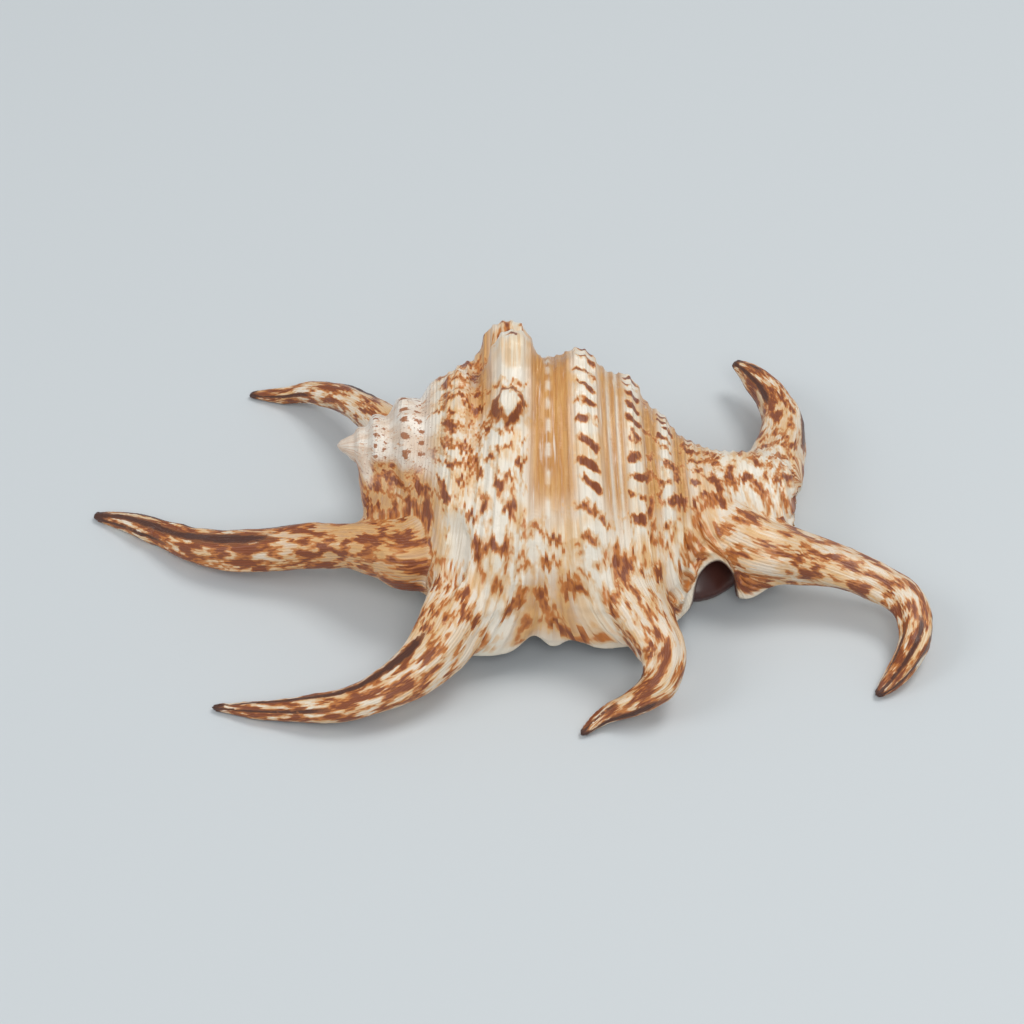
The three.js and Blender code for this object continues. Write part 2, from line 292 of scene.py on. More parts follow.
# %% Knobs and keels on the outside
KNOBS = [
    # x, angle, height, x width, angle width, steepness
    [-1.4, -57, 8.2, 6.6, 12, 4.0],
    [-8.2, -56, 3.4, 4.0, 13, 2.4],
    [0.2, -18, 6.6, 6.0, 12.5, 5.0],
    [0.2, -2, 2.6, 5.4, 12, 3.0],
    [-0.8, 18.5, 4.3, 3.7, 8.5, 3.6],
    [15.6, -46, 1.0, 4.4, 10, 3.4],
    [16.2, -24, 1.5, 4.0, 8, 3.8],
    [28.0, -42, 1.2, 3.0, 10, 2.8],
    [-18.8, -38, 1.3, 3.0, 15, 3.4],
    [-13.0, -14, 1.6, 2.8, 8, 2.8],
    [-13.0, 6, 1.4, 2.8, 7, 2.8],
]
KEELS = [
    # cord, height, half width, knuckle spacing in degrees, knuckle depth
    [0.3, 1.5, 4.0, 19, 0.35],
    [17.0, 2.0, 3.4, 11, 0.50],
    [28.3, 1.45, 2.3, 9, 0.50],
    [36.2, 1.05, 1.9, 8, 0.50],
    [43.2, 0.85, 1.7, 8, 0.50],
    [-13.5, 1.7, 2.8, 9, 0.5],
    [-8.2, -1.4, 1.7, 30, 0.2],
]


def knob_height(x, angle):
    height = 0.0
    for knob_x, knob_angle, tall, wide, spread, steep in KNOBS:
        away = np.hypot((x - knob_x) / wide, (angle - knob_angle) / spread)
        height = height + tall * np.exp(-(away**steep))
    return height


def keel_height(cord, angle, to_lip):
    height = 0.0
    for place, tall, half, spacing, depth in KEELS:
        shape = np.exp(-(np.abs((cord - place) / half) ** 3))
        knuckle = 1 - depth * (0.5 - 0.5 * np.cos(angle / spacing * 2 * math.pi + place))
        height = height + tall * shape * (knuckle + (1 - knuckle) * ramp(angle, -10, 30))
    return height * (1 - 0.75 * ramp(to_lip, -26, -4))


# %% [markdown]
# ## The fluted edge
# The lip's edge is fluted: where the grooves between cords run out, the edge lifts and lets
# one see the dark inside. Each flute is a small hill that is added to the edge's height.

# %% Flutes and the whole outside
FLUTES = [
    # x, half width, rise
    [5.0, 2.4, 3.0],
    [14.6, 3.4, 2.8],
    [35.0, 3.0, 1.0],
    [49.0, 1.6, 0.8],
]


def flute_rise(x):
    rise = 0.0
    for place, half, tall in FLUTES:
        rise = rise + tall * hill(x, place, half)
    return rise


def outside(x, angle):
    """Points of the outside at x and angle, with every large form."""
    cut = section(x)
    to_lip = angle - cut["lip_angle"]
    cord = cord_number(x, angle, cut["lip_angle"])
    keels = keel_height(cord, angle, to_lip) * ramp(x, -24, -12) * ramp(angle, -200, -150)
    radius = flared_radius(x, cut, angle) + knob_height(x, angle) + keels
    rise = flute_rise(x) * ramp(to_lip, -13, 0)
    y = cut["y"] - radius * np.sin(angle * DEGREE) + rise * 0.55
    z = cut["z"] + radius * np.cos(angle * DEGREE) + rise
    return np.stack(np.broadcast_arrays(x, y, z), axis=-1)


hump_x, hump_angle = KNOBS[0][:2]
print("hump top at", outside(np.array(hump_x), np.array(hump_angle)).round(1), "mm")

# %% [markdown]
# ## A sheet that is bent into a form
# A grid is the easiest start for a swept form: every point has a row and a column, and a
# formula carries it to its place. Merging the points that meet closes the seam and the ends.

# %% Bent grids
def bent_sheet(name, rows, columns, place):
    """A grid carried to place(row, column), both from 0 to 1, and closed where it meets."""
    bm = bmesh.new()
    bmesh.ops.create_grid(bm, x_segments=columns, y_segments=rows, size=1.0)
    mesh = bpy.data.meshes.new(name)
    bm.to_mesh(mesh)
    flat = np.empty(len(mesh.vertices) * 3)
    mesh.vertices.foreach_get("co", flat)
    flat = flat.reshape(-1, 3)
    points = place((flat[:, 1] + 1) / 2, (flat[:, 0] + 1) / 2)
    mesh.vertices.foreach_set("co", points.ravel())
    bm.clear()
    bm.from_mesh(mesh)
    bmesh.ops.remove_doubles(bm, verts=bm.verts, dist=1e-4)
    bmesh.ops.dissolve_degenerate(bm, edges=bm.edges, dist=1e-5)
    bmesh.ops.recalc_face_normals(bm, faces=bm.faces)
    bm.to_mesh(mesh)
    open_edges = sum(len(edge.link_faces) != 2 for edge in bm.edges)
    bm.free()
    piece = bpy.data.objects.new(name, mesh)
    bpy.context.collection.objects.link(piece)
    print(f"{name}: {len(mesh.polygons)} faces, {open_edges} open edges")
    return piece


BODY_ENDS = (-37.0, 69.0)
BODY_ROUNDING = 0.02  # the share of the length over which each end rounds off
ARC_SHARE = 0.88  # of the columns lie on the outside, and the rest run from lip to seam


def end_size(row, rounding):
    """How much of a section is left at a row: all of it, but less over the rounded ends."""
    near_end = np.clip(np.minimum(row, 1 - row) / rounding, 0, 1)
    return np.sqrt(1 - (1 - near_end) ** 2)


def body_place(row, column):
    x = BODY_ENDS[0] + (BODY_ENDS[1] - BODY_ENDS[0]) * row
    cut = section(x)
    share = np.minimum(column / ARC_SHARE, 1.0)
    angle = mix(cut["seam"] - 360, cut["lip_angle"], share)
    points = outside(x, angle)
    lip = outside(x, cut["lip_angle"])
    seam = outside(x, cut["seam"] - 360)
    chord = np.clip((column - ARC_SHARE) / (1 - ARC_SHARE), 0, 1)[:, None]
    points = np.where(chord > 0, lip + (seam - lip) * chord, points)
    middle = np.stack([x, cut["y"], cut["z"]], axis=-1)
    return middle + (points - middle) * end_size(row, BODY_ROUNDING)[:, None]


body = bent_sheet("body", rows=300, columns=260, place=body_place)

# %% [markdown]
# ## The spire
# The first turns of the shell stick out as a small stepped spire. The groove between turns is
# a spiral whose distance from the tip grows by the same factor with each turn. Its phase is
# the logarithm of the distance less the share of a turn. A turn climbs steeply at its start
# and then runs level, which gives the steps.

# %% Spire
SPIRE_OUTLINE = [
    # distance from the tip, and the radius of a turn that ends there
    [0, 0.2], [0.8, 1.3], [1.9, 1.6], [3.9, 2.7], [7.2, 5.2], [12.5, 8.7], [16.5, 10.9],
    [20.6, 12.9], [26, 16.0], [31, 17.4], [38, 18.0],
]
TURN_GROWTH = 1.75
FIRST_SUTURE = 4.0
LEAST_DISTANCE = 0.4  # keeps the logarithm finite at the tip
KNUCKLES = 10.3  # on each turn
APEX = np.array([-42.0, 14.7, 28.0])
SPIRE_LENGTH = 36.0
SPIRE_ROOT_X = -6.0
spire_root = np.array([
    SPIRE_ROOT_X, float(along(AXIS_Y, SPIRE_ROOT_X)), float(along(AXIS_Z, SPIRE_ROOT_X)),
])
SPIRE_AXIS = (spire_root - APEX) / np.linalg.norm(spire_root - APEX)
SPIRE_SIDE = np.cross(SPIRE_AXIS, (0.0, 0.0, 1.0))
SPIRE_SIDE = SPIRE_SIDE / np.linalg.norm(SPIRE_SIDE)
SPIRE_UP = np.cross(SPIRE_SIDE, SPIRE_AXIS)


def turn_phase(distance, angle):
    """Which turn of the spire, and how far across it from the groove."""
    grown = np.log(np.maximum(distance, LEAST_DISTANCE) / FIRST_SUTURE) / math.log(TURN_GROWTH)
    return grown - angle / 360.0


def spire_radius(distance, angle):
    phase = turn_phase(distance, angle)
    turn = np.floor(phase)
    across = phase - turn
    stepped = ramp(distance, 25, 18) * ramp(distance, 0.5, 1.2)
    climb = mix(across, ramp(across, 0, 0.4), stepped)
    reached = FIRST_SUTURE * TURN_GROWTH ** (turn + climb + angle / 360)
    size = along(SPIRE_OUTLINE, np.where(stepped > 0, reached, distance))
    groove = ramp(across, 0.78, 1.0) + ramp(across, 0.14, 0.0)
    knuckles = hill(across, 0.45, 0.14) * np.cos((angle + 360 * turn) * DEGREE * KNUCKLES)
    groove = groove * (0.10 + 0.22 * ramp(distance, 9, 4)) * stepped
    return size * (1 - groove + 0.04 * knuckles * ramp(distance, 5, 12))


def spire_place(row, column):
    distance = SPIRE_LENGTH * row**1.5
    angle = 360.0 * column
    radius = spire_radius(distance, angle)
    radius = np.where((row < 1e-6) | (row > 1 - 1e-6), 0.0, radius)[:, None]
    turned = angle[:, None] * DEGREE
    ring = SPIRE_UP * np.cos(turned) + SPIRE_SIDE * np.sin(turned)
    return APEX + SPIRE_AXIS * distance[:, None] + ring * radius


spire = bent_sheet("spire", rows=150, columns=160, place=spire_place)

# %% [markdown]
# ## The fingers
# Six fingers leave the edge: one beside the spire, four along the lip and one over the
# canal. Each is a tube along a bent line that tapers to a point. The line goes through a few
# measured points and curves smoothly between them.

# %% Finger lines
FINGERS = {
    "posterior": {
        "line": [[-12, 12, 15], [-24, 26, 14], [-31.5, 37, 13.6], [-36.8, 44.9, 11.5],
                 [-43.5, 52.8, 8.3], [-51.4, 58, 5.2], [-59.1, 60.2, 2.2], [-67.7, 61.6, 0.8]],
        "width": [16, 13, 10.5, 9.2, 7.8, 6.2, 4.6, 1.8],
        "cord": -44, "start": 0.22,
    },
    "first": {
        "line": [[-8, -4, 20], [-22, -10, 17], [-30.1, -8.1, 15.5], [-38.7, -4.1, 13],
                 [-48.5, -1.9, 10.4], [-60.6, -0.6, 8], [-72.9, 2.4, 5.6], [-83.1, 7.6, 3.6],
                 [-93.4, 14, 2.1], [-103.7, 18, 0.8]],
        "width": [26, 20, 14.5, 12, 12, 11.6, 10.1, 8, 5.4, 1.8],
        "cord": -24, "start": 0.17,
    },
    "second": {
        "line": [[-4, -4, 26], [-9.5, -21, 18.5], [-13.6, -30, 14.5], [-18.4, -37.6, 11],
                 [-26.6, -44.4, 8.2], [-37.2, -48.2, 5.6], [-48.8, -48, 3.5], [-60.5, -46.6, 1.8],
                 [-70.4, -45, 0.8]],
        "width": [20, 18.5, 16.5, 13.5, 10.6, 8.3, 6.5, 4.2, 1.6],
        "cord": -1, "start": 0.22,
    },
    "third": {
        "line": [[21, -6, 28], [27, -24.5, 18.5], [31.4, -32.1, 15], [35, -39.1, 12],
                 [33.6, -45.1, 8.6], [27.6, -47.4, 5], [21.2, -49.4, 2.6], [15.6, -53.8, 0.8]],
        "width": [20, 17, 13.6, 10.6, 9, 6.6, 4.2, 1.6],
        "cord": 17, "start": 0.26,
    },
    "fourth": {
        "line": [[46, 2, 15], [59, -6.6, 14.5], [68.5, -8, 12.6], [78.1, -9.8, 10.8],
                 [87.3, -13.2, 9.2], [92.6, -17.2, 8.2], [94.8, -22.4, 7.4], [94.6, -28.6, 6.2],
                 [91.6, -34.6, 4.4], [87.9, -39, 2.4], [84.5, -42, 0.9]],
        "width": [20, 17.5, 13.6, 10.8, 10, 9.4, 8.6, 7.6, 6.2, 4.4, 1.8],
        "cord": 47, "start": 0.2,
    },
    "canal": {
        "line": [[48, 14, 13], [61.5, 19, 11.6], [64.8, 26.4, 10.8], [67, 35.3, 10.3],
                 [67.4, 43.2, 10], [65.2, 51.7, 9.8], [61.2, 59.1, 9.4], [56.4, 65.1, 9]],
        "width": [18, 16.5, 14.4, 12.2, 10.3, 8.6, 6.6, 2.2],
        "cord": 66, "start": 0.2,
    },
}
FINGER_ROWS = 72
FINGER_COLUMNS = 44
FINGER_ROUNDING = 0.012
FLATTEN = 0.88


def smooth_line(points, t):
    """A smooth curve through the points, for t from 0 to 1."""
    points = np.asarray(points, dtype=float)
    ends = np.vstack([2 * points[0] - points[1], points, 2 * points[-1] - points[-2]])
    place = np.clip(np.asarray(t, dtype=float), 0, 1) * (len(points) - 1)
    left = np.minimum(np.floor(place).astype(int), len(points) - 2)
    f = (place - left)[..., None]
    a, b, c, d = ends[left], ends[left + 1], ends[left + 2], ends[left + 3]
    return 0.5 * (2 * b + (c - a) * f + (2 * a - 5 * b + 4 * c - d) * f**2
                  + (3 * b - a - 3 * c + d) * f**3)


def finger_frame(finger, t):
    """Middle, side, up and radius of a finger at t from 0 to 1."""
    middle = smooth_line(finger["line"], t)
    ahead = smooth_line(finger["line"], t + 2e-3) - smooth_line(finger["line"], t - 2e-3)
    ahead = ahead / np.linalg.norm(ahead, axis=-1, keepdims=True)
    side = np.cross((0.0, 0.0, 1.0), ahead)
    side = side / np.linalg.norm(side, axis=-1, keepdims=True)
    up = np.cross(ahead, side)
    widths = [[i, w] for i, w in enumerate(finger["width"])]
    radius = along(widths, np.asarray(t) * (len(widths) - 1)) / 2
    return middle, side, up, radius


def finger_place(finger):
    def place(row, column):
        middle, side, up, radius = finger_frame(finger, row)
        turn = (column * 2 * math.pi)[:, None]
        radius = (radius * end_size(row, FINGER_ROUNDING))[:, None]
        return middle + side * np.sin(turn) * radius + up * np.cos(turn) * radius * FLATTEN
    return place


finger_pieces = [
    bent_sheet("finger_" + name, FINGER_ROWS, FINGER_COLUMNS, finger_place(finger))
    for name, finger in FINGERS.items()
]

# %% [markdown]
# ## The hollow under the lip
# The animal lived in the space that opens under the lip. It is made as a form of its own and
# cut out of the rest: up the lip's inner face, round the deep end, down the columella, which
# is the pillar in the middle, and out below.

# %% Aperture form
APERTURE_ENDS = (-19.0, 64.0)
APERTURE_DEPTH = [[-19, 0.15], [-10, 0.8], [0, 1], [44, 1], [56, 0.8], [64, 0.2]]
LIP_WALL = 3.0
DEEP_WALL = 6.0
LIP_EDGE = 1  # degrees between the lip's edge and its inner face
SHALLOW_REACH = 6  # degrees that the hollow reaches in where its depth is 0
DEEP_ANGLE = 30  # the angle that it reaches where its depth is 1
LEAN_OUT = (44, 4)  # degrees before the seam where the pillar starts to lean out and is out
PILLAR_CORE = 0.74  # the pillar's radius, as a share of the tube's
PILLAR_FOOT = 0.97  # and, where it has leaned out, as a share of the outside's
LEAVE_SHARE = 0.22  # of the pillar's run, over which it leaves the deep end
FACE_SHARE = 0.35  # of the outline's columns, for the lip's inner face
PILLAR_SHARE = 0.45  # and for the pillar
LIP_GAP = 2.0  # between the lip and the form that passes beside it
BELOW_TABLE = -12.0


def on_section(cut, angle, radius):
    y = cut["y"] - radius * np.sin(angle * DEGREE)
    z = cut["z"] + radius * np.cos(angle * DEGREE)
    return np.stack([y, z], axis=-1)


def aperture_place(row, column):
    x = APERTURE_ENDS[0] + (APERTURE_ENDS[1] - APERTURE_ENDS[0]) * row
    cut = section(x)
    depth = np.clip(along(APERTURE_DEPTH, x), 0, 1)
    inner_lip = cut["lip_angle"] - LIP_EDGE
    deepest = inner_lip - SHALLOW_REACH + (DEEP_ANGLE - inner_lip + SHALLOW_REACH) * depth

    def inner_face(share):
        angle = inner_lip + (deepest - inner_lip) * share
        before, here, after = (outside(x, angle + step)[..., 1:] for step in (-1, 0, 1))
        run = (after - before) / np.linalg.norm(after - before, axis=-1, keepdims=True)
        inward = np.stack([-run[..., 1], run[..., 0]], axis=-1)
        wall = LIP_WALL + (DEEP_WALL - LIP_WALL) * share
        return here + inward * wall[..., None]

    deep = inner_face(np.ones_like(x))
    deep_radius = np.hypot(deep[..., 0] - cut["y"], deep[..., 1] - cut["z"])
    deep_angle = np.degrees(np.arctan2(cut["y"] - deep[..., 0], deep[..., 1] - cut["z"]))

    def columella(share):
        angle = mix(deep_angle, cut["seam"], share)
        leaning = ramp(angle, cut["seam"] - LEAN_OUT[0], cut["seam"] - LEAN_OUT[1])
        core = PILLAR_CORE * tube_radius(cut, angle)
        core = mix(core, PILLAR_FOOT * plain_radius(cut, angle), leaning)
        leave = ramp(share, 0, 1 + (LEAVE_SHARE - 1) * depth)
        return on_section(cut, angle, deep_radius + (core - deep_radius) * leave)

    face = inner_face(np.clip(column / FACE_SHARE, 0, 1))
    pillar = columella(np.clip((column - FACE_SHARE) / PILLAR_SHARE, 0, 1) ** 1.5)
    foot, rim = columella(np.ones_like(x)), inner_face(np.zeros_like(x))
    beside = outside(x, cut["lip_angle"])[..., 1:] - (LIP_GAP, 0.0)
    below = np.full_like(x, BELOW_TABLE)
    foot_below = np.stack([foot[..., 0], below], axis=-1)
    beside_below = np.stack([beside[..., 0], below], axis=-1)
    outline = np.where(column[:, None] < FACE_SHARE, face, pillar)
    for first, last, start, end in (
        (0.80, 0.86, foot, foot_below),
        (0.86, 0.90, foot_below, beside_below),
        (0.90, 0.96, beside_below, beside),
        (0.96, 1.00, beside, rim),
    ):
        share = np.clip((column - first) / (last - first), 0, 1)[:, None]
        outline = np.where(column[:, None] > first, start + (end - start) * share, outline)
    middle = (deep + foot) / 2
    closed = (row < 1e-6) | (row > 1 - 1e-6)
    outline = np.where(closed[:, None], middle, outline)
    return np.concatenate([x[:, None], outline], axis=-1)


aperture = bent_sheet("aperture", rows=140, columns=150, place=aperture_place)

# %% [markdown]
# ## Making one piece of them
# All the forms are put into one mesh, and a voxel remesh lays a single even skin over them,
# with no trace of where they cross. The hollow is then cut out with the Manifold solver,
# which needs such a clean closed skin, and a second remesh evens out the cut.

# %% Join, cut and remesh
VOXEL = 0.55


def apply_modifier(piece, kind, **settings):
    modifier = piece.modifiers.new(kind.lower(), kind)
    for name, value in settings.items():
        setattr(modifier, name, value)
    bpy.context.view_layer.objects.active = piece
    bpy.ops.object.modifier_apply(modifier=modifier.name)


bm = bmesh.new()
for part in [body, spire] + finger_pieces:
    bm.from_mesh(part.data)
bm.to_mesh(body.data)
bm.free()
apply_modifier(body, "REMESH", mode="VOXEL", voxel_size=VOXEL, adaptivity=0.0)
print("skin over all forms:", len(body.data.polygons), "faces")
apply_modifier(body, "BOOLEAN", operation="DIFFERENCE", solver="MANIFOLD", object=aperture)
apply_modifier(body, "REMESH", mode="VOXEL", voxel_size=VOXEL, adaptivity=0.0)
print("skin:", len(body.data.vertices), "points")

# %% [markdown]
# ## Knowing where each point lies
# The skin has forgotten which form it came from, so each point is asked again: how far it is
# from the hollow's form, which finger's line is nearest, and its angle round the axis.

# %% Points and neighbours
def points_of(piece):
    flat = np.empty(len(piece.data.vertices) * 3)
    piece.data.vertices.foreach_get("co", flat)
    return flat.reshape(-1, 3)


def normals_of(piece):
    flat = np.empty(len(piece.data.vertices) * 3)
    piece.data.vertex_normals.foreach_get("vector", flat)
    return flat.reshape(-1, 3)


def set_points(piece, points):
    piece.data.vertices.foreach_set("co", points.ravel())
    piece.data.update()


edge_ends = np.empty(len(body.data.edges) * 2, dtype=np.int32)
body.data.edges.foreach_get("vertices", edge_ends)
edge_ends = edge_ends.reshape(-1, 2)
neighbours = np.bincount(edge_ends.ravel(), minlength=len(body.data.vertices))


def relaxed(points, weight, rounds):
    """Points drawn towards the mean of their neighbours, by weight."""
    for _ in range(rounds):
        mean = np.empty_like(points)
        for axis in range(3):
            one, two = points[edge_ends[:, 0], axis], points[edge_ends[:, 1], axis]
            total = np.bincount(edge_ends[:, 0], two, len(points))
            total += np.bincount(edge_ends[:, 1], one, len(points))
            mean[:, axis] = total / neighbours
        points = points + (mean - points) * weight[:, None]
    return points


SEAM_MARGIN = 8  # degrees past the seam that still count from the lip's side
LINE_STEPS = 160


def read_places(points):
    """For every point: angle, wall above it, cord, and the nearest finger's measures."""
    x, y, z = points[:, 0], points[:, 1], points[:, 2]
    held = np.clip(x, BODY_ENDS[0], BODY_ENDS[1])
    cut = section(held)
    angle = np.degrees(np.arctan2(cut["y"] - y, z - cut["z"]))
    angle = np.where(angle > cut["seam"] + SEAM_MARGIN, angle - 360, angle)
    radius = np.hypot(cut["y"] - y, z - cut["z"])
    surface = outside(held, angle)
    place = {
        "angle": angle,
        "wall": np.hypot(surface[:, 1] - cut["y"], surface[:, 2] - cut["z"]) - radius,
        "to_lip": angle - cut["lip_angle"],
        "cord": cord_number(held, angle, cut["lip_angle"]),
        "finger": np.full(len(points), -1),
    }
    for key in ("along", "roll", "share", "finger_radius", "finger_cord"):
        place[key] = np.zeros(len(points))
    nearest = np.full(len(points), np.inf)
    steps = np.linspace(0, 1, LINE_STEPS)
    for number, finger in enumerate(FINGERS.values()):
        middle, side, up, radii = finger_frame(finger, steps)
        best = np.full(len(points), np.inf)
        which = np.zeros(len(points), dtype=int)
        for i in range(len(steps)):
            gap = np.linalg.norm(points - middle[i], axis=1)
            closer = gap < best
            best = np.where(closer, gap, best)
            which = np.where(closer, i, which)
        offset = points - middle[which]
        across = np.sum(offset * side[which], axis=1)
        lift = np.sum(offset * up[which], axis=1) / FLATTEN
        past = np.where((which == 0) | (which == len(steps) - 1), best, 0)
        beyond = np.maximum(np.hypot(across, lift), past) - radii[which]
        closer = beyond < nearest
        nearest = np.where(closer, beyond, nearest)
        run = np.concatenate([[0], np.cumsum(np.linalg.norm(np.diff(middle, axis=0), axis=1))])
        start = np.interp(finger["start"], steps, run)
        for key, value in (
            ("along", run[which] - start),
            ("roll", np.degrees(np.arctan2(across, lift))),
            ("share", steps[which]),
            ("finger_radius", radii[which]),
            ("finger_cord", np.full(len(points), float(finger["cord"]))),
            ("finger", np.full(len(points), number)),
        ):
            place[key] = np.where(closer, value, place[key])
    place["beyond"] = nearest
    return place


points = relaxed(points_of(body), np.full(len(body.data.vertices), 0.5), 2)
places = read_places(points)
print("angles from", places["angle"].min().round(), "to", places["angle"].max().round())

# %% Masks
aperture_tree = bvhtree.BVHTree.FromObject(aperture, bpy.context.evaluated_depsgraph_get())


def hollow_gap(points):
    """How far each point is from the hollow's form."""
    return np.array([aperture_tree.find_nearest(p)[3] for p in points])


def inner_mask(points):
    """1 on the faces of the hollow, 0 outside."""
    return ramp(hollow_gap(points), 0.9, 0.35)


def finger_mask(points, places):
    """1 on the fingers, 0 on the body, with a soft change over their roots."""
    x = points[:, 0]
    past_body = np.maximum(
        ramp(x, BODY_ENDS[0], BODY_ENDS[0] - 4), ramp(x, BODY_ENDS[1], BODY_ENDS[1] + 4)
    )
    off_body = np.maximum(ramp(-places["wall"], 0.0, 5.0), past_body)
    return off_body * ramp(places["beyond"], 3.5, 0.8)


inner = inner_mask(points)
on_finger = finger_mask(points, places)
root = hill(places["wall"], 0, 4.5) * hill(places["beyond"], 0, 4.5) * (1 - inner)
rim = hill(places["to_lip"], 0, 3.5) * hill(places["wall"], 1.0, 3.0) * (1 - on_finger)
print("inner points:", int((inner > 0.5).sum()), "finger points:", int((on_finger > 0.5).sum()))

for piece in [spire] + finger_pieces:
    bpy.data.objects.remove(piece)

# %% [markdown]
# ## Softening the joints
# A finger's root swells out of the wall with no corner, so points near a root are relaxed
# many times. The lip's rim is rolled, so it gets the same treatment with a lower weight.

# %% Relax roots and rim
points = relaxed(points, np.clip(root * 0.9 + rim * 0.35, 0, 0.9), 60)
places = read_places(points)
set_points(body, points)
print("relaxed box:", points.min(axis=0).round(1), points.max(axis=0).round(1))

# %% [markdown]
# ## The pocket between two fingers
# Beside the second lip finger's root the wall folds into a smooth pocket: it deepens slowly
# from the left and ends at a steep right side. Pushing the points in along their normals
# carves it into the finished skin, and the wall behind it keeps a least thickness.

# %% Pocket
POCKET_EDGE = [[-9, -15.0], [-5, -13.3], [0.5, -11.0], [8.6, -9.8], [13.9, -10.5], [18.6, -11.0]]
POCKET_WIDTH = 7.5
POCKET_DEPTH = 3.0
LEAST_WALL = 1.2


def pocket_mask(points):
    """0 to 1, over x and over the height plus depth, which is how far up the slope it is."""
    slope = points[:, 1] + points[:, 2]
    edge = along(POCKET_EDGE, slope)
    across = ramp(points[:, 0], edge - POCKET_WIDTH, edge - 0.9)
    across = across * ramp(points[:, 0], edge + 0.5, edge - 0.5)
    return across * ramp(slope, -14, 3) * ramp(slope, 22, 12) * ramp(points[:, 2], 4, 8)


room = np.maximum(hollow_gap(points) - LEAST_WALL, 0)
carve = np.minimum(POCKET_DEPTH * pocket_mask(points), room) * (1 - inner)
points = points - normals_of(body) * carve[:, None]
points = relaxed(points, np.clip(carve * 0.3, 0, 0.5), 2)
set_points(body, points)
print("pocket carved", carve.max().round(2), "mm deep")

# %% [markdown]
# ## Cords, wrinkles and dents
# The fine relief goes on last, along each point's normal. Low cords follow the cord number,
# growth wrinkles cross them near the lip, and the fingers carry lengthwise folds.

# %% Fine relief
CORD_SPACING, CORD_HEIGHT = 2.15, 0.58
THREAD_SPACING, THREAD_HEIGHT = 1.07, 0.12


def ridge(value, spacing, sharp=1.0):
    """Rounded cords with narrow grooves between, from 0 to 1."""
    wave = 0.5 + 0.5 * np.cos(value / spacing * 2 * math.pi)
    return wave**sharp


out = (1 - inner) * ramp(places["angle"], -190, -150)
cord = places["cord"]
angle = places["angle"]
wobble = bumps(np.stack([cord * 0.3, angle * 0.05, cord * 0], axis=-1), 1.0)
body_part = out * (1 - on_finger) * ramp(points[:, 0], -22, -12)
cords = ridge(cord + 0.25 * wobble, CORD_SPACING, 1.4) * CORD_HEIGHT
cords += ridge(cord, THREAD_SPACING) * THREAD_HEIGHT
cords = cords * (0.75 + 0.55 * ramp(places["to_lip"], -60, -20))
cords = cords * (1 - 0.8 * ramp(places["to_lip"], -8, -2))
lift = cords * body_part * (1 - pocket_mask(points))

wrinkle_place = np.stack([cord * 0.12, places["to_lip"] * 0.45, points[:, 0] * 0], axis=-1)
lift += 0.35 * bumps(wrinkle_place, 1.0) * body_part * ramp(places["to_lip"], -30, -8)

roll, run = places["roll"], places["along"]
folds = np.cos(roll * DEGREE * 5 + 1.7 * places["finger"] + run * 0.03)
fold_place = np.stack([roll * 0.035, run * 0.09, places["finger"] * 3.3], axis=-1)
folds = 0.035 * folds + 0.075 * bumps(fold_place, 1.0)
lift += on_finger * places["finger_radius"] * folds
dent_place = np.stack([roll * 0.09, run * 0.16, places["finger"] * 5.1], axis=-1)
lift += on_finger * 0.16 * bumps(dent_place, 1.0)
lift += 0.22 * bumps(points, 5.0) * out
lift += 0.10 * bumps(points + 40, 1.7) * out

points = points + normals_of(body) * lift[:, None]
points[:, 2] = np.maximum(points[:, 2], 0.0)
set_points(body, points)
print("relief from", lift.min().round(2), "to", lift.max().round(2), "mm")

# %% [markdown]
# ## Thinning out
# The even skin has more faces than the shell needs. Collapsing the least useful edges keeps
# the small ones where the form bends. After that each point is asked for its place again,
# because the markings are laid out by it.

# %% Decimate
TRIANGLE_LIMIT = 190_000
triangles = 2 * len(body.data.polygons)
apply_modifier(body, "DECIMATE", ratio=min(1.0, TRIANGLE_LIMIT / triangles))
points = points_of(body)
places = read_places(points)
inner = inner_mask(points)
on_finger = finger_mask(points, places)
cord, angle, to_lip = places["cord"], places["angle"], places["to_lip"]
roll, run = places["roll"], places["along"]
bpy.data.objects.remove(aperture)
print("finished skin:", len(body.data.polygons), "faces")

# %% [markdown]
# ## Where the markings lie
# The markings are laid down at the growing edge, so they follow the cords. A vector for
# each point says how far it is across the cords and along them, in millimetres, and a second
# one says the same on the fingers. Soft masks then say where tan, rust and dark stripes may
# appear; the material's noise breaks them up into flecks and flames.

